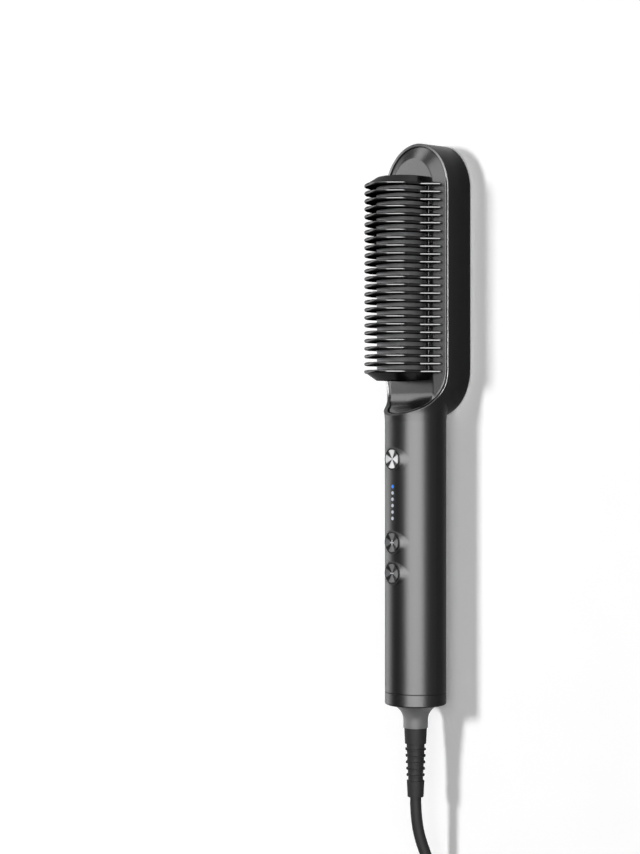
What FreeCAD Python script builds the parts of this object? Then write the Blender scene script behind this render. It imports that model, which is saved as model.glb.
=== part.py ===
import FreeCAD, Part
import math
import os

# A heated straightening comb lying on its back: +Y runs to the head's tip, +Z to the comb.
# Lengths are in millimetres, and "from tip" lengths run down the body from the head's tip.

# Handle and head
handle_radius = 16.0
handle_lift = 0.25
wall = 1.5
head_half_width = 24.65
head_length = 142.2
rim_drop = 0.2
edge_round = 0.8
handle_length = 149.4
cap_length = 6.5
seam_width = 0.15
seam_depth = 0.4
blend_radius = 22.0
shoulder_inset = 0.05
shoulder_rise = 8.0

# Ramp where the front opening climbs to the handle
ramp_setback = 8.6
ramp_run = 7.65
ramp_round = 16.0
scoop_round = 8.0

# Turns, in degrees
full_turn = 360
arch_half_angle = 100.0

# Fits
fit_gap = 0.15
run_gap = 0.05
move_gap = 0.3
overrun = 3.0

# Back of the head
recess_depth = 4.2
web_thickness = 3.0
ring_width = 3.8
ring_edge_depth = 0.35
ring_inner_depth = 2.3
plate_thickness = 1.6
bore_setback = 2.0

# Front panel
panel_drop = 0.4
panel_edge = 1.6
panel_skin = 1.6
plateau_rise = 2.7
bevel_width = 6.5
post_radius = 2.6
post_offset = 1.2
post_shares = (0.28, 0.74)

# Comb
rib_pitch = 4.0
comb_margin = 23.0
rib_thickness = 1.7
rib_edge_round = 0.8
arch_setback = 0.35
arch_rise = 13.8
leg_overhang = 5.5
leg_taper = 3.0
leg_point_width = 0.7
leg_tip_rise = 2.05
rail_setback = 0.1
rail_width = 1.8
rail_height = 3.0
cage_end = 4.4
cage_end_skin = 1.35
rib_depth = 3.15
core_rise = 9.74
core_gap = 0.1
fin_depth = 0.25
fin_thickness = 2.4
tunnel_radius = 8.0
riser_step = 0.2
riser_rise = 1.2
flange_lap = 1.6
flange_thickness = 2.0
flange_margin = 3.0

# Heater under the comb
heater_side_gap = 0.6
heater_margin = 13.0
heater_thickness = 1.6
sheet_thickness = 0.5
clamp_setback = 1.0
clamp_margin = 12.0
clamp_thickness = 1.2
clamp_foot_width = 4.4
clamp_screw_margin = 5.0
fuse_radius = 2.0
fuse_gap = 3.0
fuse_length = 11.0
sensor_radius = 1.2
sensor_gap = 4.0
sensor_length = 5.0

# Fasteners
screw_radius = 1.2
screw_head_radius = 2.3
screw_head_height = 1.6
screw_bite = 6.0
small_screw_radius = 1.0
small_head_radius = 1.9
small_head_height = 1.4
small_screw_bite = 5.0

# Controls
power_place_share = 0.146
plus_place_share = 0.4344
minus_place_share = 0.5402
button_radius = 4.8
button_top_rise = 0.5
collar_lap = 0.45
button_collar_thickness = 0.9
stem_radius = 1.6
bezel_width = 0.65
bezel_top_rise = 0.2
bezel_height = 3.05
button_dish_depth = 0.35
mound_rise = 0.15
mound_margin = 0.3
mound_inset = 0.05
mark_length = 2.6
mark_width = 0.5
mark_depth = 0.2

# Indicator lights
light_count = 6
light_place_share = 0.241
light_pitch = 3.28
light_radius = 0.9
guide_half_width = 1.6
guide_thickness = 1.7
guide_drop = 1.65
led_length = 1.6
led_width = 1.2
led_height = 1.0

# Control board
board_margin = 10.0
board_half_width = 10.0
board_thickness = 1.6
board_rise = 4.5
board_post_radius = 3.0
board_post_gap = 6.5
switch_side = 6.0
switch_height = 3.6
plunger_radius = 1.7
plunger_height = 0.9
button_travel = 0.7

# Cord swivel
shaft_radius = 5.0
shaft_inset = 6.1
core_length = 15.0
swivel_core_radius = 3.2
spigot_length = 7.0
spigot_wall = 1.85
clip_radius = 7.5
clip_thickness = 1.2
collector_step = 0.4
collector_width = 3.5
collector_margin = 4.5
collector_pitch = 6.0
holder_inset = 1.5
holder_gap = 0.6
brush_width = 3.0
brush_thickness = 1.0
brush_length = 7.0
neck_flare_radius = 13.5
neck_radius = 6.45
neck_flare_length = 8.0
neck_length = 12.0
neck_socket_depth = 6.0

# Strain relief
relief_length = 36.0
relief_shoulder = 0.5
relief_wall = 1.2
relief_spigot_radius = 4.0
relief_ring_count = 6
relief_ring_width = 2.6
relief_ring_depth = 0.8
relief_plain_share = 0.22

# Inner wires
wire_radius = 0.9
lead_step = 6.0
lead_lift = 2.5
bend_share = 0.45
heater_wire_offset = 5.0
mains_wire_offset = 4.0

# Mains cord: a free stretch, a hank of loops with a waist, and a tail to the plug
cord_diameter = 6.0
tie_thickness = 0.8
tie_gap = 0.3
tie_width = 9.0
hank_inner_radius = 18.0
hank_step = 7.0
hank_layer = 6.6
hank_run = 60.0
hank_waist = 5.0
hank_layers = 4
tail_offset = 10.0

# Plug
plug_length = 38.0
plug_half_width = 17.6
plug_tail_half_width = 7.0
plug_shoulder_share = 0.42
plug_height = 13.7
plug_round = 3.0
pin_radius = 2.0
pin_length = 19.0
pin_half_gap = 9.3

# Worked out from the sizes above
axis_height = handle_radius + handle_lift
handle_top = axis_height + handle_radius
rim_height = axis_height - rim_drop
bore_radius = handle_radius - wall
plug_radius = bore_radius - fit_gap
web_top = recess_depth + web_thickness
plateau_height = axis_height + plateau_rise
panel_rim = rim_height - panel_drop
panel_foot = panel_rim - panel_edge
panel_inset = wall + fit_gap
plateau_half_width = head_half_width - panel_inset - bevel_width
plateau_inset = panel_inset + bevel_width
plate_half_width = head_half_width - wall - run_gap - ring_width
post_half_span = plateau_half_width + post_offset
post_from_tip = [share * head_length for share in post_shares]
ramp_foot = head_length - ramp_setback
bore_start = head_length + bore_setback
rib_count = 1 + int((head_length - 2 * comb_margin) / rib_pitch)
comb_length = (rib_count - 1) * rib_pitch
first_rib = (head_length - comb_length) / 2
last_rib = first_rib + comb_length
arch_radius = plateau_half_width - arch_setback
core_radius = arch_radius - rib_depth
leg_tip_reach = plateau_half_width + leg_overhang
rail_outer = plateau_half_width - rail_setback
rail_inner = rail_outer - rail_width
riser_half_width = core_radius - riser_step
flange_half_width = core_radius + flange_lap
clamp_half_width = flange_half_width - clamp_setback
clamp_screw_half_span = clamp_half_width - clamp_foot_width / 2
heater_half_width = clamp_half_width - clamp_foot_width - heater_side_gap
heater_start = first_rib + heater_margin
heater_length = comb_length - 2 * heater_margin
clamp_start = heater_start + clamp_margin
clamp_length = heater_length - 2 * clamp_margin
fuse_start = heater_start + heater_length + fuse_gap
sensor_start = first_rib + sensor_gap
arch_height = axis_height + arch_rise
core_height = axis_height + core_rise
rail_top = plateau_height + rail_height
flange_top = plateau_height - panel_skin
flange_foot = flange_top - flange_thickness
heater_foot = flange_foot - heater_thickness
sheet_foot = heater_foot - sheet_thickness
clamp_foot = sheet_foot - clamp_thickness
body_length = head_length + handle_length
seam_from_tip = body_length - cap_length
neck_start = body_length + move_gap
neck_end = neck_start + neck_length
relief_end = neck_end + relief_length
half_length = relief_end / 2
ramp_angle = math.atan2(handle_top - rim_height, ramp_run)
bevel_height = plateau_height - panel_rim
scoop_foot = ramp_foot + bevel_height / math.tan(ramp_angle)
power_from_tip = head_length + power_place_share * handle_length
plus_from_tip = head_length + plus_place_share * handle_length
minus_from_tip = head_length + minus_place_share * handle_length
light_from_tip = head_length + light_place_share * handle_length
guide_margin = light_pitch / 2 - fit_gap
board_from_tip = power_from_tip - board_margin
board_length = minus_from_tip + board_margin - board_from_tip
board_post_from_tip = (power_from_tip - board_post_gap, minus_from_tip + board_post_gap)
bezel_inner_radius = button_radius + fit_gap
bezel_radius = bezel_inner_radius + bezel_width
button_collar_radius = bezel_inner_radius + collar_lap
mound_radius = bezel_radius + mound_margin
board_top = axis_height + board_rise
board_foot = board_top - board_thickness
switch_top = board_top + switch_height
plunger_top = switch_top + plunger_height
bezel_top = handle_top + bezel_top_rise
bezel_foot = bezel_top - bezel_height
button_top = handle_top + button_top_rise
collar_top = bezel_foot - move_gap
collar_foot = collar_top - button_collar_thickness
cord_radius = cord_diameter / 2
shaft_start = seam_from_tip - shaft_inset
core_start = shaft_start - core_length
collector_radius = shaft_radius - collector_step
collector_from_tip = (core_start + collector_margin, core_start + collector_margin + collector_pitch)
holder_start = core_start + holder_inset
holder_length = core_length - 2 * holder_inset
holder_bore = collector_radius + holder_gap
neck_socket_radius = relief_spigot_radius + run_gap
relief_root_radius = neck_radius - relief_shoulder
relief_end_radius = cord_radius + relief_wall
hank_outer_radius = hank_inner_radius + hank_step
hank_floor = cord_radius + tie_thickness + tie_gap
hank_top = hank_floor + (hank_layers - 1) * hank_layer
plug_axis = plug_height / 2
light_positions = [light_from_tip + i * light_pitch for i in range(light_count)]

# Routes of the cord's free stretches: across, along from their start, and height
free_route = (
    (0.0, 0.0, axis_height),
    (0.0, -14.0, axis_height),
    (3.0, -32.0, 11.5),
    (10.0, -50.0, 6.0),
    (18.5, -68.0, 4.3),
    (hank_outer_radius, -86.0, hank_floor),
    (hank_outer_radius, -100.0, hank_floor),
)
tail_route = (
    (hank_outer_radius, 0.0, hank_top),
    (hank_outer_radius, -14.0, hank_top),
    (21.0, -30.0, 19.0),
    (13.5, -46.0, 10.5),
    (tail_offset, -61.0, plug_axis),
    (tail_offset, -75.0, plug_axis),
)
hank_start = relief_end - free_route[-1][1]
hank_near = hank_start + cord_diameter
hank_far = hank_near + hank_run
hank_end = hank_far + cord_diameter
tail_end = hank_end - tail_route[-1][1]


def along(from_tip):
    return half_length - from_tip


def point(x, from_tip, z):
    return FreeCAD.Vector(x, along(from_tip), z)


def fuse(shapes):
    return shapes[0].multiFuse(shapes[1:]).removeSplitter()


# A box given by its half width, its stretch along the body and its heights
def slab(half_width, start, length, foot, top, centre=0.0):
    corner = point(centre - half_width, start + length, foot)
    return Part.makeBox(2 * half_width, length, top - foot, corner)


# A round bar along the body
def bar(radius, start, end, x=0.0, height=None):
    centre_height = axis_height if height is None else height
    base = point(x, start, centre_height)
    return Part.makeCylinder(radius, end - start, base, FreeCAD.Vector(0, -1, 0))


# A round upright post
def upright(radius, from_tip, foot, top, x=0.0):
    return Part.makeCylinder(radius, top - foot, point(x, from_tip, foot))


# The head's outline, drawn in by an inset
def head_outline(inset, height, length=head_length):
    radius = head_half_width - inset
    upper = head_half_width
    lower = length - head_half_width
    edges = [
        Part.Arc(point(radius, upper, height), point(0, inset, height), point(-radius, upper, height)),
        Part.LineSegment(point(-radius, upper, height), point(-radius, lower, height)),
        Part.Arc(
            point(-radius, lower, height),
            point(0, length - inset, height),
            point(radius, lower, height),
        ),
        Part.LineSegment(point(radius, lower, height), point(radius, upper, height)),
    ]
    return Part.Wire([edge.toShape() for edge in edges])


def head_prism(inset, foot, top, length=head_length):
    face = Part.Face(head_outline(inset, foot, length))
    return face.extrude(FreeCAD.Vector(0, 0, top - foot))


def head_frustum(low_inset, foot, high_inset, top, length=head_length):
    outlines = [head_outline(low_inset, foot, length), head_outline(high_inset, top, length)]
    return Part.makeLoft(outlines, True, True)


# The side outline of the ramp: everything above the rim and on the head's side of the slope
def above_ramp(rim, corner, radius, slope):
    reach = radius * math.tan(slope / 2)
    middle = slope / 2
    rise = axis_height + head_half_width - rim
    flat_end = (corner - reach, rim)
    arc_middle = (corner - reach + radius * math.sin(middle), rim + radius * (1 - math.cos(middle)))
    slope_start = (corner + reach * math.cos(slope), rim + reach * math.sin(slope))
    slope_end = (corner + rise / math.tan(slope), rim + rise)
    half = head_half_width + overrun

    def at(pair):
        return point(-half, pair[0], pair[1])

    edges = [
        Part.LineSegment(at((-overrun, rim)), at(flat_end)),
        Part.Arc(at(flat_end), at(arc_middle), at(slope_start)),
        Part.LineSegment(at(slope_start), at(slope_end)),
        Part.LineSegment(at(slope_end), at((-overrun, rim + rise))),
        Part.LineSegment(at((-overrun, rim + rise)), at((-overrun, rim))),
    ]
    face = Part.Face(Part.Wire([edge.toShape() for edge in edges]))
    return face.extrude(FreeCAD.Vector(2 * half, 0, 0))


# A solid turned about the handle's axis
def turned(edges):
    face = Part.Face(Part.Wire([edge.toShape() for edge in edges]))
    return face.revolve(point(0, 0, axis_height), FreeCAD.Vector(0, 1, 0), full_turn)


# The handle, flared out at its upper end to the head's round lower end
def handle_bar():
    centre = head_length - head_half_width
    head_radius = head_half_width - shoulder_inset
    span = handle_radius + blend_radius
    reach = head_radius + blend_radius
    drop = math.sqrt(reach**2 - span**2)
    share = head_radius / reach
    flare_start = centre + drop * share
    flare_end = centre + drop
    half_turn = math.asin((flare_end - flare_start) / blend_radius) / 2

    def at(across, from_tip):
        return point(across, from_tip, axis_height)

    widest = at(span * share, flare_start)
    middle = at(span - blend_radius * math.cos(half_turn), flare_end - blend_radius * math.sin(half_turn))
    tangent = at(handle_radius, flare_end)
    edges = [
        Part.LineSegment(at(0, flare_start), widest),
        Part.Arc(widest, middle, tangent),
        Part.LineSegment(tangent, at(handle_radius, seam_from_tip)),
        Part.LineSegment(at(handle_radius, seam_from_tip), at(0, seam_from_tip)),
        Part.LineSegment(at(0, seam_from_tip), at(0, flare_start)),
    ]
    below = slab(head_half_width, 0, body_length, -head_half_width, 0)
    return turned(edges).cut(below)


# A low cone round a button, whose sides run into the round of the handle
def mound(from_tip):
    top = handle_radius + mound_rise
    inner_radius = handle_radius - mound_inset
    lean = math.atan2(mound_radius, top) + math.acos(inner_radius / math.hypot(mound_radius, top))
    foot = inner_radius * math.cos(lean)
    foot_radius = inner_radius * math.sin(lean)
    return Part.makeCone(foot_radius, mound_radius, top - foot, point(0, from_tip, axis_height + foot))


def main_housing():
    head = head_prism(0, 0, rim_height + shoulder_rise)
    low_edges = [edge for edge in head.Edges if edge.BoundBox.ZMax < edge_round]
    head = head.makeFillet(edge_round, low_edges)
    buttons = (power_from_tip, plus_from_tip, minus_from_tip)
    outer = fuse([head, handle_bar()] + [mound(place) for place in buttons])
    slope_cut = above_ramp(rim_height, ramp_foot, ramp_round, ramp_angle)
    recess = head_prism(wall, -overrun, recess_depth)
    cavity = head_prism(wall, web_top, handle_top + overrun)
    bore = bar(bore_radius, bore_start, seam_from_tip + overrun)
    throat = bar(bore_radius, head_length - head_half_width, bore_start + overrun)
    throat = throat.common(slab(bore_radius, 0, body_length, web_top, handle_top))
    shell = outer.cut([slope_cut, recess, cavity, bore, throat])
    for place in buttons:
        shell = shell.cut(upright(bezel_radius, place, axis_height, handle_top + overrun))
    for light in light_positions:
        shell = shell.cut(upright(light_radius + run_gap, light, axis_height, handle_top + overrun))
    for side in (1, -1):
        for post in post_from_tip:
            x = side * post_half_span
            hole = upright(screw_radius + fit_gap, post, -overrun, web_top + overrun, x)
            sink = upright(screw_head_radius + fit_gap, post, -overrun, screw_seat(), x)
            shell = shell.cut([hole, sink])
    for post in board_post_from_tip:
        pillar = upright(board_post_radius, post, handle_lift + wall / 2, board_foot)
        pilot = upright(small_screw_radius + run_gap, post, board_foot - small_screw_bite, handle_top)
        shell = shell.fuse(pillar).cut(pilot.common(slab(bore_radius, 0, body_length, 0, board_foot)))
    return shell.removeSplitter()


# Height of the face that a panel screw's head pulls against
def screw_seat():
    return recess_depth + screw_head_height + fit_gap


# The panel's form, drawn in by a skin: a plateau with bevelled sides that climbs to the handle
def panel_form(skin, foot):
    top = plateau_height - skin
    corner = scoop_foot + skin * math.tan(ramp_angle / 2)
    climb = above_ramp(top, corner, scoop_round + skin, ramp_angle)
    block = head_prism(panel_inset + skin, foot, handle_top).cut(climb)
    low = foot - overrun
    spread = bevel_width * (top - low) / bevel_height
    inset = plateau_inset + skin
    long = head_length + head_half_width
    sides = head_frustum(inset - spread, low, inset, top, long)
    return block.common(fuse([sides, head_prism(inset, top, handle_top + overrun, long)]))


def front_panel():
    panel = panel_form(0, panel_foot).cut(panel_form(panel_skin, panel_foot - overrun))
    posts = []
    for side in (1, -1):
        for post in post_from_tip:
            x = side * post_half_span
            pillar = upright(post_radius, post, web_top, panel_rim, x)
            posts.append(pillar.cut(upright(screw_radius + run_gap, post, 0, web_top + screw_bite, x)))
    opening = slab(
        core_radius + move_gap,
        first_rib - fin_thickness / 2 - move_gap,
        last_rib - first_rib + fin_thickness + 2 * move_gap,
        flange_top - overrun,
        plateau_height + overrun,
    )
    return fuse([panel] + posts).cut(opening)


def screw(radius, head_radius, head_height, bite, seat, up):
    way = FreeCAD.Vector(0, 0, 1 if up else -1)
    shank = Part.makeCylinder(radius, bite, seat, way)
    head = Part.makeCylinder(head_radius, head_height, seat, -way)
    return shank.fuse(head).removeSplitter()


def panel_screws():
    length = web_top - screw_seat() + screw_bite
    return Part.makeCompound(
        [
            screw(
                screw_radius,
                screw_head_radius,
                screw_head_height,
                length,
                point(side * post_half_span, post, screw_seat()),
                True,
            )
            for side in (1, -1)
            for post in post_from_tip
        ]
    )


def accent_ring():
    outer_inset = wall + run_gap
    inner_inset = head_half_width - plate_half_width
    block = head_prism(outer_inset, ring_edge_depth, recess_depth)
    slope = head_frustum(outer_inset, ring_edge_depth, inner_inset, ring_inner_depth)
    middle = head_prism(inner_inset, -overrun, recess_depth + overrun)
    return block.cut([slope, middle])


def back_plate():
    inset = head_half_width - plate_half_width + run_gap
    return head_prism(inset, recess_depth - plate_thickness, recess_depth)


# Comb outlines, drawn square to the body
def arch_wire(half_width, foot, centre_height, from_tip):
    top = centre_height + half_width
    edges = [
        Part.LineSegment(point(-half_width, from_tip, foot), point(-half_width, from_tip, centre_height)),
        Part.Arc(
            point(-half_width, from_tip, centre_height),
            point(0, from_tip, top),
            point(half_width, from_tip, centre_height),
        ),
        Part.LineSegment(point(half_width, from_tip, centre_height), point(half_width, from_tip, foot)),
        Part.LineSegment(point(half_width, from_tip, foot), point(-half_width, from_tip, foot)),
    ]
    return Part.Wire([edge.toShape() for edge in edges])


# One guard rib: an arch over the heated fin, with a pointed leg at each side
def guard_rib(from_tip):
    face_from_tip = from_tip + rib_thickness / 2
    angle = math.radians(arch_half_angle)
    root = (arch_radius * math.sin(angle), arch_height + arch_radius * math.cos(angle))
    tip = (leg_tip_reach, axis_height + leg_tip_rise)
    heel = (rail_outer, rail_top)
    inner = core_radius + core_gap
    inner_foot = (math.sqrt(inner**2 - (core_height - rail_top) ** 2), rail_top)

    def at(pair, side):
        return point(side * pair[0], face_from_tip, pair[1])

    edges = [
        Part.Arc(at(root, -1), point(0, face_from_tip, arch_height + arch_radius), at(root, 1)),
        Part.LineSegment(at(root, 1), at(tip, 1)),
        Part.LineSegment(at(tip, 1), at(heel, 1)),
        Part.LineSegment(at(heel, 1), at(inner_foot, 1)),
        Part.Arc(at(inner_foot, 1), point(0, face_from_tip, core_height + inner), at(inner_foot, -1)),
        Part.LineSegment(at(inner_foot, -1), at(heel, -1)),
        Part.LineSegment(at(heel, -1), at(tip, -1)),
        Part.LineSegment(at(tip, -1), at(root, -1)),
    ]
    outline = Part.Wire([edge.toShape() for edge in edges])
    rib = Part.Face(outline).extrude(FreeCAD.Vector(0, rib_thickness, 0))
    crests = [edge for edge in rib.Edges if is_crest(edge)]
    return rib.makeFillet(rib_edge_round, crests).common(leg_taper_prism(from_tip))


# Narrows a rib's legs towards their points, as seen from above
def leg_taper_prism(from_tip):
    wide = rib_thickness / 2 + fit_gap
    narrow = leg_point_width / 2
    shoulder = leg_tip_reach - leg_taper
    quarter = [(shoulder, wide), (leg_tip_reach + fit_gap, narrow)]
    corners = quarter + [(x, -y) for x, y in reversed(quarter)]
    corners += [(-x, y) for x, y in reversed(corners)]
    outline = [point(x, from_tip + y, 0) for x, y in corners]
    face = Part.Face(Part.makePolygon(outline + outline[:1]))
    return face.extrude(FreeCAD.Vector(0, 0, arch_height + arch_radius + overrun))


# True for the arch's two outer edges and the upper edges of the legs
def is_crest(edge):
    flat = edge.BoundBox.YLength < run_gap
    reach = max(edge.BoundBox.XMax, -edge.BoundBox.XMin)
    reaches_out = reach > leg_tip_reach - run_gap
    over_top = edge.BoundBox.ZMax > arch_height + arch_radius - run_gap
    upper = edge.BoundBox.ZMax > rail_top + run_gap
    return flat and (over_top or (reaches_out and upper))


def comb_cage():
    first = guard_rib(first_rib)
    ribs = []
    for i in range(rib_count):
        rib = first.copy()
        rib.translate(FreeCAD.Vector(0, -i * rib_pitch, 0))
        ribs.append(rib)
    rails = []
    for side in (1, -1):
        middle = side * (rail_inner + rail_outer) / 2
        half = (rail_outer - rail_inner) / 2
        rails.append(slab(half, first_rib, last_rib - first_rib, plateau_height, rail_top, middle))
    ends = []
    for rib, way in ((first_rib, -1), (last_rib, 1)):
        near = arch_wire(arch_radius, plateau_height, arch_height, rib)
        far = arch_wire(core_radius, plateau_height, core_height, rib + way * cage_end)
        end = Part.makeLoft([near, far], True, True)
        pocket = slab(core_radius + core_gap, rib - cage_end_skin, 2 * cage_end_skin, 0, core_height)
        dome = bar(core_radius + core_gap, rib - cage_end_skin, rib + cage_end_skin, 0, core_height)
        ends.append(end.cut([pocket, dome]))
    return fuse(ribs + rails + ends)


def heating_comb():
    start = first_rib - fin_thickness / 2
    length = last_rib - first_rib + fin_thickness
    riser_top = plateau_height + riser_rise
    flange = slab(
        flange_half_width,
        start - flange_margin,
        length + 2 * flange_margin,
        flange_foot,
        flange_top,
    ).common(head_prism(plateau_inset + panel_skin + fit_gap, flange_foot, flange_top))
    riser = slab(riser_half_width, start, length, flange_foot, riser_top)
    fins = []
    below = slab(core_radius + overrun, 0, body_length, 0, riser_top - riser_rise / 2)
    for i in range(rib_count):
        middle = first_rib + i * rib_pitch
        disc = bar(core_radius, middle - fin_thickness / 2, middle + fin_thickness / 2, 0, core_height)
        fins.append(disc.cut(below))
    core = bar(core_radius - fin_depth, start, start + length, 0, core_height)
    tunnel = bar(tunnel_radius, start - overrun, start + length + overrun, 0, core_height)
    comb = fuse([flange, riser, core.cut(below)] + fins).cut(tunnel)
    for side in (1, -1):
        for from_tip in clamp_screw_places():
            x = side * clamp_screw_half_span
            comb = comb.cut(upright(small_screw_radius + run_gap, from_tip, 0, clamp_screw_top(), x))
    return comb


def clamp_screw_places():
    return (clamp_start + clamp_screw_margin, clamp_start + clamp_length - clamp_screw_margin)


def clamp_screw_top():
    return clamp_foot + small_screw_bite


def heater_clamp():
    plate = slab(clamp_half_width, clamp_start, clamp_length, clamp_foot, sheet_foot)
    for side in (1, -1):
        foot = side * clamp_screw_half_span
        half = clamp_half_width - clamp_screw_half_span
        plate = plate.fuse(slab(half, clamp_start, clamp_length, sheet_foot, flange_foot, foot))
    for side in (1, -1):
        for from_tip in clamp_screw_places():
            x = side * clamp_screw_half_span
            plate = plate.cut(upright(small_screw_radius + run_gap, from_tip, 0, flange_top, x))
    return plate.removeSplitter()


def clamp_screws():
    return Part.makeCompound(
        [
            screw(
                small_screw_radius,
                small_head_radius,
                small_head_height,
                small_screw_bite,
                point(side * clamp_screw_half_span, from_tip, clamp_foot),
                True,
            )
            for side in (1, -1)
            for from_tip in clamp_screw_places()
        ]
    )


def ceramic_heater():
    return slab(heater_half_width, heater_start, heater_length, heater_foot, flange_foot)


def insulation_sheet():
    return slab(heater_half_width, heater_start, heater_length, sheet_foot, heater_foot)


def thermal_fuse():
    return bar(fuse_radius, fuse_start, fuse_start + fuse_length, 0, flange_foot - fuse_radius)


def temperature_sensor():
    return bar(sensor_radius, sensor_start, sensor_start + sensor_length, 0, flange_foot - sensor_radius)


# A tube on straight runs joined by the largest tangent arcs that the runs allow
def rounded_edges(points):
    edges = []
    radii = []
    start = points[0]
    for before, corner, after in zip(points, points[1:], points[2:]):
        back = before - corner
        ahead = after - corner
        reach = bend_share * min(back.Length, ahead.Length)
        back.normalize()
        ahead.normalize()
        entry = corner + back * reach
        leave = corner + ahead * reach
        half_turn = (math.pi - back.getAngle(ahead)) / 2
        radius = reach / math.tan(half_turn)
        inward = back + ahead
        inward.normalize()
        middle = corner + inward * (radius / math.cos(half_turn) - radius)
        edges.append(Part.LineSegment(start, entry).toShape())
        edges.append(Part.Arc(entry, middle, leave).toShape())
        radii.append(radius)
        start = leave
    edges.append(Part.LineSegment(start, points[-1]).toShape())
    return edges, radii


def tube(edges, radius):
    path = Part.Wire(edges)
    first = edges[0]
    way = first.tangentAt(first.FirstParameter)
    profile = Part.Wire([Part.makeCircle(radius, first.valueAt(first.FirstParameter), way)])
    return path.makePipeShell([profile], True, False), path


def inner_wire(points):
    edges, radii = rounded_edges(points)
    solid, path = tube(edges, wire_radius)
    return solid


def heater_lead(side):
    x = side * heater_wire_offset
    start = heater_start + heater_length
    height = flange_foot - wire_radius - run_gap
    low = web_top + lead_lift
    end_height = (board_foot + board_top) / 2
    return inner_wire(
        [
            point(x, start, height),
            point(x, start + lead_step, height),
            point(x, start + 3 * lead_step, low),
            point(x, head_length, low),
            point(x, board_from_tip - lead_step, end_height),
            point(x, board_from_tip, end_height),
        ]
    )


def mains_lead(side):
    x = side * mains_wire_offset
    start = board_from_tip + board_length
    step = (holder_start - start) / 3
    start_height = (board_foot + board_top) / 2
    end_height = axis_height + side * (collector_radius + run_gap + brush_length / 2)
    return inner_wire(
        [
            point(x, start, start_height),
            point(x, start + step, start_height),
            point(0, holder_start - step, end_height),
            point(0, holder_start, end_height),
        ]
    )


def control_board():
    board = slab(board_half_width, board_from_tip, board_length, board_foot, board_top)
    for post in board_post_from_tip:
        board = board.cut(upright(small_screw_radius + run_gap, post, 0, handle_top))
    return board


def board_screws():
    return Part.makeCompound(
        [
            screw(
                small_screw_radius,
                small_head_radius,
                small_head_height,
                board_thickness + small_screw_bite - run_gap,
                point(0, post, board_top),
                False,
            )
            for post in board_post_from_tip
        ]
    )


def switch_body(from_tip):
    body = slab(switch_side / 2, from_tip - switch_side / 2, switch_side, board_top, switch_top)
    well_foot = switch_top - button_travel - 2 * move_gap
    return body.cut(upright(plunger_radius + fit_gap, from_tip, well_foot, plunger_top))


def switch_plunger(from_tip):
    return upright(plunger_radius, from_tip, switch_top - move_gap, plunger_top)


def bezel(from_tip):
    ring = upright(bezel_radius, from_tip, bezel_foot, bezel_top)
    return ring.cut(upright(bezel_inner_radius, from_tip, 0, bezel_top + overrun))


def button(from_tip):
    cap = upright(button_radius, from_tip, collar_foot, button_top)
    collar = upright(button_collar_radius, from_tip, collar_foot, collar_top)
    stem = upright(stem_radius, from_tip, plunger_top, collar_foot + button_collar_thickness / 2)
    dish_radius = (button_radius**2 + button_dish_depth**2) / (2 * button_dish_depth)
    dish = Part.makeSphere(dish_radius, point(0, from_tip, button_top - button_dish_depth + dish_radius))
    return fuse([cap, collar, stem]).cut(dish)


# A flat mark let into the button's dished face
def mark(from_tip, crossed):
    foot = button_top - button_dish_depth - mark_depth
    top = foot + 2 * mark_depth
    strokes = [slab(mark_length / 2, from_tip - mark_width / 2, mark_width, foot, top)]
    if crossed:
        strokes.append(slab(mark_width / 2, from_tip - mark_length / 2, mark_length, foot, top))
    return fuse(strokes) if crossed else strokes[0]


def guide(positions):
    top = handle_top - guide_drop
    foot = top - guide_thickness
    start = positions[0] - guide_margin
    length = positions[-1] - positions[0] + 2 * guide_margin
    strip = slab(guide_half_width, start, length, foot, top)
    pipes = [
        upright(light_radius, light, board_top + led_height + move_gap, handle_top - run_gap)
        for light in positions
    ]
    return fuse([strip] + pipes)


def indicator_leds():
    return Part.makeCompound(
        [
            slab(led_width / 2, light - led_length / 2, led_length, board_top, board_top + led_height)
            for light in light_positions
        ]
    )


def end_cap():
    disc = bar(handle_radius, seam_from_tip + seam_width, body_length)
    low_edges = [edge for edge in disc.Edges if edge.BoundBox.YMax < along(body_length - edge_round)]
    disc = disc.makeFillet(edge_round, low_edges)
    seam = bar(handle_radius - seam_depth, seam_from_tip, seam_from_tip + seam_width)
    spigot = bar(plug_radius, seam_from_tip - spigot_length, seam_from_tip)
    hollow = bar(plug_radius - spigot_wall, seam_from_tip - spigot_length - overrun, seam_from_tip)
    hole = bar(shaft_radius + run_gap, seam_from_tip - overrun, body_length + overrun)
    return fuse([disc, seam, spigot.cut(hollow)]).cut(hole)


# The neck's concave flare, turned about the handle's axis
def neck_flare():
    step = neck_flare_radius - neck_radius
    sweep = (step**2 + neck_flare_length**2) / (2 * step)
    half_turn = math.asin(neck_flare_length / sweep) / 2
    foot = neck_start + neck_flare_length

    def at(across, from_tip):
        return point(across, from_tip, axis_height)

    middle = at(
        neck_radius + sweep * (1 - math.cos(half_turn)),
        foot - sweep * math.sin(half_turn),
    )
    edges = [
        Part.LineSegment(at(0, neck_start), at(neck_flare_radius, neck_start)),
        Part.Arc(at(neck_flare_radius, neck_start), middle, at(neck_radius, foot)),
        Part.LineSegment(at(neck_radius, foot), at(0, foot)),
        Part.LineSegment(at(0, foot), at(0, neck_start)),
    ]
    return turned(edges)


def swivel_neck():
    flare = neck_flare()
    neck = bar(neck_radius, neck_start + neck_flare_length, neck_end)
    shaft = bar(shaft_radius, shaft_start, neck_start)
    core = bar(swivel_core_radius, core_start, shaft_start)
    socket = bar(neck_socket_radius, neck_end - neck_socket_depth, neck_end + overrun)
    return fuse([flare, neck, shaft, core]).cut(socket)


def swivel_clip():
    start = seam_from_tip - move_gap - clip_thickness
    ring = bar(clip_radius, start, start + clip_thickness)
    return ring.cut(bar(shaft_radius, start - overrun, seam_from_tip))


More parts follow.
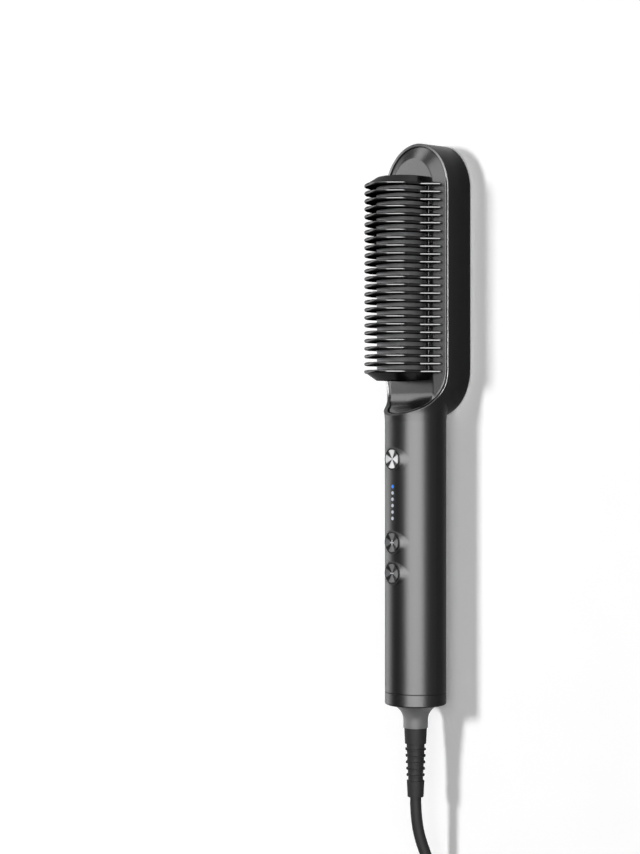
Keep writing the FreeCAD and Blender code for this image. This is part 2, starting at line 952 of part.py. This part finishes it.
def collector_rings():
    rings = []
    for middle in collector_from_tip:
        ring = bar(collector_radius, middle - collector_width / 2, middle + collector_width / 2)
        rings.append(ring.cut(bar(swivel_core_radius, core_start, shaft_start)))
    return Part.makeCompound(rings)


def brush_box(side, middle):
    foot = axis_height + side * (collector_radius + run_gap)
    top = foot + side * brush_length
    return slab(
        brush_width / 2,
        middle - brush_thickness / 2,
        brush_thickness,
        min(foot, top),
        max(foot, top),
    )


def brushes():
    return [brush_box(side, middle) for side, middle in zip((1, -1), collector_from_tip)]


def brush_holder():
    block = bar(plug_radius + fit_gap, holder_start, holder_start + holder_length)
    bore = bar(holder_bore, holder_start - overrun, holder_start + holder_length + overrun)
    return block.cut([bore] + brushes())


def strain_relief():
    taper = Part.makeCone(
        relief_root_radius,
        relief_end_radius,
        relief_length,
        point(0, neck_end, axis_height),
        FreeCAD.Vector(0, -1, 0),
    )
    plain = relief_length * relief_plain_share
    pitch = (relief_length - 2 * plain) / relief_ring_count
    slope = (relief_root_radius - relief_end_radius) / relief_length
    for i in range(relief_ring_count):
        middle = plain + (i + 0.5) * pitch
        depth_radius = relief_root_radius - slope * middle - relief_ring_depth
        start = neck_end + middle - relief_ring_width / 2
        groove = bar(relief_root_radius + overrun, start, start + relief_ring_width)
        taper = taper.cut(groove.cut(bar(depth_radius, start - overrun, start + 2 * overrun)))
    spigot = bar(relief_spigot_radius, neck_end - neck_socket_depth + move_gap, neck_end)
    return taper.fuse(spigot).removeSplitter()


def route(points, start_from_tip):
    return [point(x, start_from_tip - y, z) for x, y, z in points]


def free_cord(name, points, start_from_tip):
    edges, radii = rounded_edges(route(points, start_from_tip))
    solid, path = tube(edges, cord_radius)
    print(name, "radii", [round(r) for r in radii], "length", round(path.Length, 1))
    print(name, "volume share", round(solid.Volume / (math.pi * cord_radius**2 * path.Length), 4))
    return solid, path


# Two equal arcs from one point to another, both ends running along the body
def double_bend(start, end):
    offset = FreeCAD.Vector(end.x - start.x, 0, end.z - start.z)
    length = end.y - start.y
    turn = 2 * math.atan(offset.Length / abs(length))
    radius = abs(length) / (2 * math.sin(turn))
    side = FreeCAD.Vector(offset)
    side.normalize()
    forward = FreeCAD.Vector(0, math.copysign(1, length), 0)
    half = turn / 2
    lift = radius * (1 - math.cos(half))
    reach = radius * math.sin(half)
    first = start + forward * reach + side * lift
    last = end - forward * reach - side * lift
    centre = (start + end) * 0.5
    return [Part.Arc(start, first, centre).toShape(), Part.Arc(centre, last, end).toShape()]


# The hank's path: loops in layers that spiral in and out, each run drawn in at the waist
def hank_edges():
    outer = hank_outer_radius
    inner = hank_inner_radius
    heights = [hank_floor + i * hank_layer for i in range(hank_layers)]
    runs = []
    first = hank_floor
    for low, high in zip(heights[0::2], heights[1::2]):
        runs += [(outer, first, low), (-outer, low, low), (inner, low, low)]
        runs += [(-inner, low, high), (inner, high, high), (-outer, high, high)]
        first = high
    runs.append((outer, first, first))
    lead_in = (point(outer, hank_start, hank_floor), point(outer, hank_near, hank_floor))
    lead_out = (point(outer, hank_far, hank_top), point(outer, hank_end, hank_top))
    edges = [Part.LineSegment(*lead_in).toShape()]
    end = None
    for i, (x, foot, top) in enumerate(runs):
        down = i % 2 == 0
        near, far = (hank_near, hank_far) if down else (hank_far, hank_near)
        start = point(x, near, foot)
        waist = point(x - math.copysign(hank_waist, x), (near + far) / 2, (foot + top) / 2)
        stop = point(x, far, top)
        if end:
            bulge = abs(start.x - end.x) / 2
            away = bulge if down else -bulge
            middle = FreeCAD.Vector((start.x + end.x) / 2, start.y + away, start.z)
            edges.append(Part.Arc(end, middle, start).toShape())
        edges += double_bend(start, waist) + double_bend(waist, stop)
        end = stop
    edges.append(Part.LineSegment(*lead_out).toShape())
    return edges


# Least gap between stretches of the hank's tube that aren't neighbours along it
def least_gap(path, spacing):
    count = int(path.Length / spacing)
    places = path.discretize(count)
    skip = int(hank_inner_radius / spacing)
    least = path.Length
    for i, here in enumerate(places):
        for there in places[i + skip :]:
            least = min(least, here.distanceToPoint(there))
    return least - cord_diameter


def cord_hank():
    edges = hank_edges()
    solid, path = tube(edges, cord_radius)
    radii = [edge.Curve.Radius for edge in edges[1:-1]]
    print("hank radii from", round(min(radii), 1), "length", round(path.Length, 1))
    print("hank volume share", round(solid.Volume / (math.pi * cord_radius**2 * path.Length), 4))
    print("hank least gap", round(least_gap(path, cord_diameter / 3), 2))
    return solid, path


def cord_tie():
    half = hank_outer_radius - hank_waist + cord_radius + tie_gap
    foot = tie_thickness
    top = hank_top + cord_radius + tie_gap
    start = (hank_near + hank_far - tie_width) / 2
    band = slab(half + tie_thickness, start, tie_width, 0, top + tie_thickness)
    return band.cut(slab(half, start - overrun, tie_width + 2 * overrun, foot, top))


def plug_body():
    shoulder = tail_end + plug_length * plug_shoulder_share
    front = tail_end + plug_length
    corners = [
        (-plug_tail_half_width, tail_end),
        (-plug_half_width, shoulder),
        (-plug_half_width, front),
        (plug_half_width, front),
        (plug_half_width, shoulder),
        (plug_tail_half_width, tail_end),
    ]
    outline = [point(tail_offset + across, from_tip, 0) for across, from_tip in corners]
    body = Part.Face(Part.makePolygon(outline + outline[:1])).extrude(FreeCAD.Vector(0, 0, plug_height))
    return body.makeFillet(plug_round, [e for e in body.Edges if e.BoundBox.ZLength > run_gap])


def plug_pins():
    start = tail_end + plug_length
    end = start + pin_length
    places = (tail_offset - pin_half_gap, tail_offset + pin_half_gap)
    return Part.makeCompound([bar(pin_radius, start, end, x, plug_axis) for x in places])


def build():
    cord, cord_path = free_cord("power cord", free_route, relief_end)
    hank, hank_path = cord_hank()
    tail, tail_path = free_cord("cord tail", tail_route, hank_end)
    print("cord length", round(cord_path.Length + hank_path.Length + tail_path.Length, 1))
    parts = {
        "main_housing": main_housing(),
        "front_panel": front_panel(),
        "panel_screws": panel_screws(),
        "accent_ring": accent_ring(),
        "back_plate": back_plate(),
        "comb_cage": comb_cage(),
        "heating_comb": heating_comb(),
        "ceramic_heater": ceramic_heater(),
        "insulation_sheet": insulation_sheet(),
        "heater_clamp": heater_clamp(),
        "clamp_screws": clamp_screws(),
        "thermal_fuse": thermal_fuse(),
        "temperature_sensor": temperature_sensor(),
        "heater_lead_live": heater_lead(1),
        "heater_lead_neutral": heater_lead(-1),
        "control_board": control_board(),
        "board_screws": board_screws(),
        "indicator_leds": indicator_leds(),
        "lit_indicator": guide(light_positions[:1]),
        "indicator_bar": guide(light_positions[1:]),
        "plus_mark": mark(plus_from_tip, True),
        "minus_mark": mark(minus_from_tip, False),
        "mains_lead_live": mains_lead(1),
        "mains_lead_neutral": mains_lead(-1),
        "brush_holder": brush_holder(),
        "contact_brushes": Part.makeCompound(brushes()),
        "end_cap": end_cap(),
        "swivel_neck": swivel_neck(),
        "swivel_clip": swivel_clip(),
        "collector_rings": collector_rings(),
        "strain_relief": strain_relief(),
        "power_cord": cord,
        "cord_hank": hank,
        "cord_tail": tail,
        "cord_tie": cord_tie(),
        "plug_body": plug_body(),
        "plug_pins": plug_pins(),
    }
    for name, from_tip in (("power", power_from_tip), ("plus", plus_from_tip), ("minus", minus_from_tip)):
        parts[name + "_button"] = button(from_tip)
        parts[name + "_bezel"] = bezel(from_tip)
        parts[name + "_switch"] = switch_body(from_tip)
        parts[name + "_plunger"] = switch_plunger(from_tip)
    for name in ("plus", "minus"):
        parts[name + "_button"] = parts[name + "_button"].cut(parts[name + "_mark"])
    return parts


os.makedirs("parts", exist_ok=True)
for name, shape in build().items():
    shape.exportStep(f"parts/{name}.step")
    print(name, len(shape.Solids), "solids, valid:", shape.isValid(), "volume", round(shape.Volume, 1))
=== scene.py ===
import math

import bpy
from mathutils import Matrix, Vector


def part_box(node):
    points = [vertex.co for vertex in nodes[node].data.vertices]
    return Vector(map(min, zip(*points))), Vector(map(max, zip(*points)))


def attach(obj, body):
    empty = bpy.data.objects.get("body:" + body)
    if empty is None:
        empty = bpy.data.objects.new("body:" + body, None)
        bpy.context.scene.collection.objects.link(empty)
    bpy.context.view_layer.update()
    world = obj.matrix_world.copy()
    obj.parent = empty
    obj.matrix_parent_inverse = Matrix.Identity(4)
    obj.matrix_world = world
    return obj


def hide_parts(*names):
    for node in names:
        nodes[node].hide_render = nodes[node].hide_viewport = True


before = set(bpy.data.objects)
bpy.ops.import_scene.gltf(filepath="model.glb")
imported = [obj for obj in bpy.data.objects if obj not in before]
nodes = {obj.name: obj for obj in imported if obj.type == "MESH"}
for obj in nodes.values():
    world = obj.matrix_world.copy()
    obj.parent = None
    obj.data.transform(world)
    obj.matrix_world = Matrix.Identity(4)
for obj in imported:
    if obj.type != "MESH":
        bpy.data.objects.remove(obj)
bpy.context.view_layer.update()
scene = bpy.context.scene
scene.view_settings.view_transform = "Standard"

# Places and sizes in metres, in the frame's own axes: +Y to the head's tip, +Z to the comb
mm = 0.001
half_length = 169.95 * mm
axis_height = 16.25 * mm
relief_end = -half_length
cord_diameter = 6.0 * mm


# Camera: the photograph's right-hand view
view_turn = math.radians(51.5)
view_distance = 0.938
eye_below_tip = 147.5 * mm
axis_right_of_centre = 49.8 * mm
lens_mm = 75.9


def add_camera():
    towards = Vector((math.sin(view_turn), 0, math.cos(view_turn)))
    right = Vector((math.cos(view_turn), 0, -math.sin(view_turn)))
    up = Vector((0, 1, 0))
    aim = Vector((0, half_length - eye_below_tip, axis_height)) - right * axis_right_of_centre
    data = bpy.data.cameras.new("camera")
    data.lens = lens_mm
    data.clip_start = 0.01
    camera = bpy.data.objects.new("camera", data)
    scene.collection.objects.link(camera)
    turn = Matrix((right, up, towards)).transposed()
    camera.matrix_world = Matrix.Translation(aim + towards * view_distance) @ turn.to_4x4()
    scene.camera = camera


add_camera()


# Cord: the free stretch, the hank's turns and the tail to the plug, on one spline
hank_inner = 18.0 * mm
hank_outer = 25.0 * mm
hank_floor = 4.1 * mm
hank_layer = 6.6 * mm
hank_layers = 4
hank_waist = 5.0 * mm
hank_near = relief_end - 106.0 * mm
hank_far = hank_near - 60.0 * mm

# Routes in millimetres: across, along the body from the stretch's start, and up
free_route = (
    (0.0, 0.0, 16.25),
    (0.0, -14.0, 16.25),
    (3.0, -32.0, 11.5),
    (10.0, -50.0, 6.0),
    (18.5, -68.0, 4.3),
    (25.0, -86.0, 4.1),
    (25.0, -100.0, 4.1),
)
tail_route = (
    (25.0, 0.0, 23.9),
    (25.0, -14.0, 23.9),
    (21.0, -30.0, 19.0),
    (13.5, -46.0, 10.5),
    (10.0, -61.0, 6.85),
    (10.0, -75.0, 6.85),
)
run_steps = 5
turn_steps = 6


# The hank's runs: each is (x, height at its start, height at its end)
def hank_runs():
    heights = [hank_floor + i * hank_layer for i in range(hank_layers)]
    runs = []
    first = hank_floor
    for low, high in zip(heights[0::2], heights[1::2]):
        runs += [(hank_outer, first, low), (-hank_outer, low, low), (hank_inner, low, low)]
        runs += [(-hank_inner, low, high), (hank_inner, high, high), (-hank_outer, high, high)]
        first = high
    runs.append((hank_outer, first, first))
    return runs


# Control points of a half turn, set out so that the spline keeps the turn's radius
def half_turn(start_x, end_x, y, height, way):
    centre = (start_x + end_x) / 2
    radius = abs(end_x - start_x) / 2
    step = math.pi / turn_steps
    reach = radius * 8 / (6 + 2 * math.cos(step))
    side = math.copysign(1, start_x - end_x)
    points = []
    for i in range(turn_steps):
        angle = (i + 0.5) * step
        across = centre + side * reach * math.cos(angle)
        points.append((across, y + way * reach * math.sin(angle), height))
    return points


def hank_points():
    points = []
    last_x = None
    for i, (x, foot, top) in enumerate(hank_runs()):
        down = i % 2 == 0
        near, far = (hank_near, hank_far) if down else (hank_far, hank_near)
        if last_x is not None:
            points += half_turn(last_x, x, near, foot, 1 if down else -1)
        for j in range(run_steps):
            share = (j + 0.5) / run_steps
            draw_in = math.copysign(hank_waist, x) * (1 - math.cos(2 * math.pi * share)) / 2
            rise = share - math.sin(2 * math.pi * share) / (2 * math.pi)
            points.append((x - draw_in, near + share * (far - near), foot + rise * (top - foot)))
        last_x = x
    return points


def add_cord():
    route = [(x * mm, relief_end + y * mm, z * mm) for x, y, z in free_route]
    route += hank_points()
    tail_start = hank_far - cord_diameter
    route += [(x * mm, tail_start + y * mm, z * mm) for x, y, z in tail_route]
    curve = bpy.data.curves.new("mains_cord", "CURVE")
    curve.dimensions = "3D"
    spline = curve.splines.new("NURBS")
    spline.points.add(len(route) - 1)
    for place, target in zip(route, spline.points):
        target.co = (*place, 1)
        target.radius = cord_diameter / 2
    spline.order_u = 3
    spline.use_endpoint_u = True
    spline.resolution_u = 6
    curve.bevel_depth = 1.0
    curve.bevel_resolution = 4
    curve.use_fill_caps = True
    cord = bpy.data.objects.new("mains_cord", curve)
    scene.collection.objects.link(cord)
    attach(cord, "body")
    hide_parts("power_cord", "cord_hank", "cord_tail")
    return cord


cord = add_cord()


# Materials
noise_detail = 3.0
shade_scale = 60.0
shade_dip = 0.88
roughness_spread = 0.1
grain_depth = 0.02 * mm
ring_scale = 900.0
ring_wander = 1.5
ring_depth = 0.01 * mm
# number of painted highlight fans on the turned buttons
painted_fan_count = 4
flank_limits = (0.7, 0.95)
rim_limits = (0.85, 0.95)
rim_below = 20.0 * mm
rim_sides_end = 140.0 * mm
rim_index = 1.85


def new_material(name):
    material = bpy.data.materials.new(name)
    material.use_nodes = True
    tree = material.node_tree
    return material, tree, tree.nodes["Principled BSDF"]


def noise(tree, scale):
    place = tree.nodes.new("ShaderNodeTexCoord")
    texture = tree.nodes.new("ShaderNodeTexNoise")
    texture.inputs["Scale"].default_value = scale
    texture.inputs["Detail"].default_value = noise_detail
    tree.links.new(place.outputs["Object"], texture.inputs["Vector"])
    return texture.outputs["Fac"]


def ramp(tree, value, low, high):
    spread = tree.nodes.new("ShaderNodeMapRange")
    spread.inputs["From Min"].default_value = 0.3
    spread.inputs["From Max"].default_value = 0.7
    spread.inputs["To Min"].default_value = low
    spread.inputs["To Max"].default_value = high
    tree.links.new(value, spread.inputs["Value"])
    return spread.outputs["Result"]


def tint(tree, value, first, second):
    mix = tree.nodes.new("ShaderNodeMix")
    mix.data_type = "RGBA"
    mix.inputs["A"].default_value = (*first, 1)
    mix.inputs["B"].default_value = (*second, 1)
    tree.links.new(value, mix.inputs["Factor"])
    return mix.outputs["Result"]


def bump(tree, height, distance, strength, edge_round):
    node = tree.nodes.new("ShaderNodeBump")
    node.inputs["Distance"].default_value = distance
    node.inputs["Strength"].default_value = strength
    tree.links.new(height, node.inputs["Height"])
    bevel = tree.nodes.new("ShaderNodeBevel")
    bevel.samples = 6
    bevel.inputs["Radius"].default_value = edge_round
    tree.links.new(bevel.outputs["Normal"], node.inputs["Normal"])
    return node.outputs["Normal"]


# A moulded or painted surface: fine grain in its relief, with slightly uneven gloss and shade
def surface_nodes(
    name, colour, roughness, grain=0.0, metallic=0.0, gloss=0.15, grain_scale=2600.0, edge_round=0.25 * mm
):
    material, tree, shader = new_material(name)
    shader.inputs["Metallic"].default_value = metallic
    shader.inputs["Specular IOR Level"].default_value = gloss
    fine = noise(tree, grain_scale)
    broad = noise(tree, shade_scale)
    shade = ramp(tree, broad, 0.0, 1.0)
    darker = tuple(c * shade_dip for c in colour)
    tree.links.new(tint(tree, shade, darker, colour), shader.inputs["Base Color"])
    smooth = roughness * (1 - roughness_spread)
    rough = roughness * (1 + roughness_spread)
    tree.links.new(ramp(tree, fine, smooth, rough), shader.inputs["Roughness"])
    relief = bump(tree, fine, grain_depth, grain, edge_round)
    tree.links.new(relief, shader.inputs["Normal"])
    return material, tree, shader


def surface(name, colour, roughness, **finish):
    return surface_nodes(name, colour, roughness, **finish)[0]


def dress(material, *names):
    for name in names:
        slots = nodes[name].data.materials
        slots.clear()
        slots.append(material)


cap = surface("cap_black", (0.003, 0.003, 0.0032), 0.36, grain=0.04, edge_round=0.15 * mm)
panel = surface("panel_grey", (0.01, 0.01, 0.0104), 0.25, gloss=0.22, edge_round=1.0 * mm)
comb_metal = surface("comb_metal", (0.24, 0.24, 0.248), 0.6, grain=0.05, gloss=0.1)
ring = surface("accent_pink", (0.7, 0.25, 0.54), 0.25, grain=0.03, metallic=0.15)
plate = surface("plate_dark", (0.07, 0.07, 0.073), 0.6, grain=0.6, gloss=0.1, grain_scale=4000.0)
bezel = surface("bezel_black", (0.01, 0.01, 0.01), 0.25, grain=0.05)
inlay = surface("mark_light", (0.5, 0.5, 0.51), 0.5, grain=0.2)
steel = surface("steel", (0.5, 0.5, 0.5), 0.3, grain=0.3, metallic=1.0)
ceramic = surface("heater_ceramic", (0.8, 0.77, 0.72), 0.6, grain=0.4)
mica = surface("insulation", (0.6, 0.5, 0.3), 0.5, grain=0.6)
fuse_body = surface("fuse_body", (0.7, 0.66, 0.55), 0.5, grain=0.3)
lead_brown = surface("lead_brown", (0.16, 0.07, 0.03), 0.5, grain=0.2)
lead_blue = surface("lead_blue", (0.05, 0.1, 0.3), 0.5, grain=0.2)
board = surface("board_green", (0.03, 0.16, 0.07), 0.4, grain=0.3)
switch_black = surface("switch_black", (0.03, 0.03, 0.03), 0.5, grain=0.3)
inner_white = surface("inner_white", (0.7, 0.7, 0.67), 0.5, grain=0.3)
brass = surface("brass", (0.65, 0.48, 0.2), 0.3, grain=0.3, metallic=1.0)
# The swivel neck's mid grey is lighter than its dark plastic: a painted reflection of the lamps, set in
# the base colour
neck_grey = surface("neck_grey", (0.2, 0.2, 0.204), 0.5, grain=0.1, gloss=0.08)
rubber = surface("cord_black", (0.02, 0.02, 0.02), 0.65, grain=0.4, gloss=0.05)
pin_metal = surface("pin_metal", (0.75, 0.75, 0.75), 0.15, grain=0.1, metallic=1.0)


# A polished skin over part of a surface, where the share is 1
def polish(tree, shader, share, weight, roughness):
    shader.inputs["Coat Roughness"].default_value = roughness
    tree.links.new(shader.inputs["Normal"].links[0].from_socket, shader.inputs["Coat Normal"])
    skin = tree.nodes.new("ShaderNodeMath")
    skin.operation = "MULTIPLY"
    skin.inputs[1].default_value = weight
    tree.links.new(share, skin.inputs[0])
    tree.links.new(skin.outputs[0], shader.inputs["Coat Weight"])


# The share of a surface that faces along an axis, either way: 0 up to the first limit, 1 from the second
def facing(tree, axis, first, second):
    place = tree.nodes.new("ShaderNodeNewGeometry")
    parts = tree.nodes.new("ShaderNodeSeparateXYZ")
    tree.links.new(place.outputs["True Normal"], parts.inputs["Vector"])
    along = tree.nodes.new("ShaderNodeMath")
    along.operation = "ABSOLUTE"
    tree.links.new(parts.outputs[axis], along.inputs[0])
    spread = tree.nodes.new("ShaderNodeMapRange")
    spread.inputs["From Min"].default_value = first
    spread.inputs["From Max"].default_value = second
    tree.links.new(along.outputs[0], spread.inputs["Value"])
    return spread.outputs["Result"]


# The guard: polished on the ribs' outer edges, matt on the flanks that face along the body
def guard_plastic(name, colour, matt, weight, roughness):
    material, tree, shader = surface_nodes(name, colour, matt, grain=0.03, gloss=0.0, edge_round=0.4 * mm)
    outer = tree.nodes.new("ShaderNodeMath")
    outer.operation = "SUBTRACT"
    outer.inputs[0].default_value = 1.0
    tree.links.new(facing(tree, "Y", *flank_limits), outer.inputs[1])
    polish(tree, shader, outer.outputs[0], weight, roughness)
    return material


cage = guard_plastic("cage_black", (0.002, 0.002, 0.0021), matt=0.7, weight=0.55, roughness=0.16)


# The housing: satin, with a rim round the front panel that is polished along the sides
def housing_plastic(name, colour, satin, weight, roughness):
    material, tree, shader = surface_nodes(name, colour, satin, grain=0.04, edge_round=0.8 * mm)
    place = tree.nodes.new("ShaderNodeTexCoord")
    parts = tree.nodes.new("ShaderNodeSeparateXYZ")
    tree.links.new(place.outputs["Object"], parts.inputs["Vector"])
    low = tree.nodes.new("ShaderNodeMath")
    low.operation = "LESS_THAN"
    low.inputs[1].default_value = rim_below
    tree.links.new(parts.outputs["Z"], low.inputs[0])
    sides = tree.nodes.new("ShaderNodeMapRange")
    sides.inputs["From Min"].default_value = rim_sides_end
    sides.inputs["From Max"].default_value = half_length
    sides.inputs["To Min"].default_value = 1.0
    sides.inputs["To Max"].default_value = 0.0
    tree.links.new(parts.outputs["Y"], sides.inputs["Value"])
    share = facing(tree, "Z", *rim_limits)
    for other in (low.outputs[0], sides.outputs["Result"]):
        rim = tree.nodes.new("ShaderNodeMath")
        rim.operation = "MULTIPLY"
        tree.links.new(share, rim.inputs[0])
        tree.links.new(other, rim.inputs[1])
        share = rim.outputs[0]
    shader.inputs["Coat IOR"].default_value = rim_index
    polish(tree, shader, share, weight, roughness)
    return material


housing = housing_plastic("housing_black", (0.003, 0.003, 0.0032), satin=0.36, weight=1.0, roughness=0.2)


# Turned metal: fine rings round the button's middle in the relief and roughness, with a painted highlight
# in the base colour: four bright fans, with painted dark shade between them
def spun_metal(name, colour, dark, roughness, centre_y):
    material, tree, shader = new_material(name)
    shader.inputs["Metallic"].default_value = 0.1
    shader.inputs["Specular IOR Level"].default_value = 0.04
    shader.inputs["Anisotropic"].default_value = 0.7
    tangent = tree.nodes.new("ShaderNodeTangent")
    tangent.direction_type = "RADIAL"
    tangent.axis = "Z"
    tree.links.new(tangent.outputs["Tangent"], shader.inputs["Tangent"])
    place = tree.nodes.new("ShaderNodeTexCoord")
    mapping = tree.nodes.new("ShaderNodeMapping")
    mapping.inputs["Location"].default_value = (0, -centre_y, 0)
    tree.links.new(place.outputs["Object"], mapping.inputs["Vector"])
    rings = tree.nodes.new("ShaderNodeTexWave")
    rings.wave_type = "RINGS"
    rings.rings_direction = "Z"
    rings.inputs["Scale"].default_value = ring_scale
    rings.inputs["Distortion"].default_value = ring_wander
    tree.links.new(mapping.outputs["Vector"], rings.inputs["Vector"])
    turn = tree.nodes.new("ShaderNodeTexGradient")
    turn.gradient_type = "RADIAL"
    tree.links.new(mapping.outputs["Vector"], turn.inputs["Vector"])
    painted_fans = tree.nodes.new("ShaderNodeMath")
    painted_fans.operation = "MULTIPLY"
    painted_fans.inputs[1].default_value = painted_fan_count * 2 * math.pi
    tree.links.new(turn.outputs["Fac"], painted_fans.inputs[0])
    wave = tree.nodes.new("ShaderNodeMath")
    wave.operation = "COSINE"
    tree.links.new(painted_fans.outputs[0], wave.inputs[0])
    # painted highlight: the base colour runs from the painted dark between the fans up to the bright fans
    painted_sheen = tree.nodes.new("ShaderNodeMapRange")
    painted_sheen.interpolation_type = "SMOOTHSTEP"
    painted_sheen.inputs["From Min"].default_value = -0.85
    painted_sheen.inputs["From Max"].default_value = 0.1
    tree.links.new(wave.outputs[0], painted_sheen.inputs["Value"])
    tree.links.new(tint(tree, painted_sheen.outputs["Result"], dark, colour), shader.inputs["Base Color"])
    uneven = ramp(tree, rings.outputs["Fac"], roughness * 0.85, roughness * 1.15)
    tree.links.new(uneven, shader.inputs["Roughness"])
    relief = bump(tree, rings.outputs["Fac"], ring_depth, 0.3, 0.15 * mm)
    tree.links.new(relief, shader.inputs["Normal"])
    return material


def node_centre_y(name):
    low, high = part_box(name)
    return (low[1] + high[1]) / 2


spun_roughness = 0.4
# Each pair gives the painted highlight colour of the fans and the painted shade between them
silver_painted_light_pair = ((0.55, 0.55, 0.56), (0.02, 0.02, 0.02))
grey_painted_light_pair = ((0.12, 0.12, 0.123), (0.006, 0.006, 0.006))
for button, slot, (bright, dark) in (
    ("power_button", "button_silver", silver_painted_light_pair),
    ("plus_button", "button_dark_plus", grey_painted_light_pair),
    ("minus_button", "button_dark_minus", grey_painted_light_pair),
):
    dress(spun_metal(slot, bright, dark, spun_roughness, node_centre_y(button)), button)


# Light guides: clear plastic, the first one lit from inside; the clear ones glow faintly as well, a
# painted glow with no lamp behind it
def light(name, colour, glow):
    material, tree, shader = surface_nodes(name, colour, 0.25, grain=0.05)
    shader.inputs["Emission Color"].default_value = (*colour, 1)
    shader.inputs["Emission Strength"].default_value = glow
    return material


dress(light("light_blue", (0.02, 0.2, 0.75), 0.35), "lit_indicator")
# painted glow: the unlit clear guides are given a faint emission
dress(light("light_clear", (0.52, 0.54, 0.6), 0.1), "indicator_bar", "indicator_leds")

dress(housing, "main_housing")
dress(cap, "end_cap")
dress(panel, "front_panel")
dress(cage, "comb_cage")
dress(comb_metal, "heating_comb")
dress(ring, "accent_ring")
dress(plate, "back_plate")
dress(bezel, "power_bezel", "plus_bezel", "minus_bezel")
dress(inlay, "plus_mark", "minus_mark")
dress(steel, "panel_screws", "heater_clamp", "clamp_screws", "board_screws", "swivel_clip")
dress(ceramic, "ceramic_heater")
dress(mica, "insulation_sheet")
dress(fuse_body, "thermal_fuse", "temperature_sensor")
dress(lead_brown, "heater_lead_live", "mains_lead_live")
dress(lead_blue, "heater_lead_neutral", "mains_lead_neutral")
dress(board, "control_board")
dress(switch_black, "power_switch", "plus_switch", "minus_switch")
dress(inner_white, "brush_holder", "power_plunger", "plus_plunger", "minus_plunger")
dress(brass, "contact_brushes", "collector_rings")
dress(neck_grey, "swivel_neck")
dress(rubber, "strain_relief", "cord_tie", "plug_body", "power_cord", "cord_hank", "cord_tail")
dress(pin_metal, "plug_pins")
cord.data.materials.append(rubber)


# Stage: a pale floor, lifted to white where it is seen, with the object's own shadow on it
floor_half_side = 6.0
floor_drop = 0.1 * mm
floor_lift = 0.15
floor_grain_scale = 40.0


def add_floor():
    material, tree, shader = new_material("floor")
    shader.inputs["Roughness"].default_value = 0.9
    shader.inputs["Specular IOR Level"].default_value = 0.0
    grain = noise(tree, floor_grain_scale)
    tree.links.new(tint(tree, grain, (0.9, 0.9, 0.9), (0.93, 0.93, 0.93)), shader.inputs["Base Color"])
    path = tree.nodes.new("ShaderNodeLightPath")
    seen = path.outputs["Is Camera Ray"]
    for kind in ("Is Glossy Ray", "Is Transmission Ray"):
        either = tree.nodes.new("ShaderNodeMath")
        either.operation = "MAXIMUM"
        tree.links.new(seen, either.inputs[0])
        tree.links.new(path.outputs[kind], either.inputs[1])
        seen = either.outputs[0]
    lift = tree.nodes.new("ShaderNodeMath")
    lift.operation = "MULTIPLY"
    lift.inputs[1].default_value = floor_lift
    tree.links.new(seen, lift.inputs[0])
    shader.inputs["Emission Color"].default_value = (1, 1, 1, 1)
    tree.links.new(lift.outputs[0], shader.inputs["Emission Strength"])
    mesh = bpy.data.meshes.new("floor")
    side = floor_half_side
    corners = [(-side, -side, 0), (side, -side, 0), (side, side, 0), (-side, side, 0)]
    mesh.from_pydata(corners, [], [(0, 1, 2, 3)])
    mesh.materials.append(material)
    floor = bpy.data.objects.new("floor", mesh)
    scene.collection.objects.link(floor)
    floor.location.z = -floor_drop


lamps_middle_y = 0.03
reflector_distance = 1.2
world_level = 0.18


# A lamp that faces the body's axis: turned from straight up towards +X, and shifted along the body.
# Its size is given across the body and along it, and its level is the brightness of its face.
def add_lamp(name, turn, distance, size, level, shift_y=0.0):
    angle = math.radians(turn)
    towards = Vector((math.sin(angle), 0, math.cos(angle)))
    upward = Vector((0, 1, 0))
    across = upward.cross(towards)
    place = Vector((0, lamps_middle_y + shift_y, axis_height)) + towards * distance
    data = bpy.data.lights.new(name, "AREA")
    data.shape = "RECTANGLE"
    data.size, data.size_y = size
    data.energy = level * math.pi * size[0] * size[1]
    lamp = bpy.data.objects.new(name, data)
    scene.collection.objects.link(lamp)
    turned = Matrix((across, upward, towards)).transposed()
    lamp.matrix_world = Matrix.Translation(place) @ turned.to_4x4()
    lamp.visible_camera = False
    return lamp


add_floor()

# Shading lamps: a key from the upper left that throws the shadow, and a broad fill
key_lamp = add_lamp("key", -34.0, 3.0, (0.48, 0.48), 98.0, 0.4)
key_lamp.visible_glossy = False
fill_lamp = add_lamp("fill", 40.0, 2.0, (2.4, 2.4), 0.65)
fill_lamp.visible_glossy = False

# Panels that the gloss reflects: over the camera's side, low on the left, by the head and past the tip
for name, turn, size, level, shift_y in (
    ("front_reflector", 46.0, (1.5, 1.2), 35.0, 0.0),
    ("left_reflector", -74.0, (0.9, 0.6), 5.3, -0.24),
    ("head_reflector", -52.0, (0.5, 2.2), 8.7, 1.16),
    ("tip_reflector", 0.0, (0.76, 1.2), 11.0, 1.0),
):
    reflector = add_lamp(name, turn, reflector_distance, size, level, shift_y)
    reflector.visible_diffuse = False

world = bpy.data.worlds.new("world")
world.use_nodes = True
background = world.node_tree.nodes["Background"]
background.inputs["Color"].default_value = (1, 1, 1, 1)
background.inputs["Strength"].default_value = world_level
scene.world = world

bpy.context.view_layer.update()
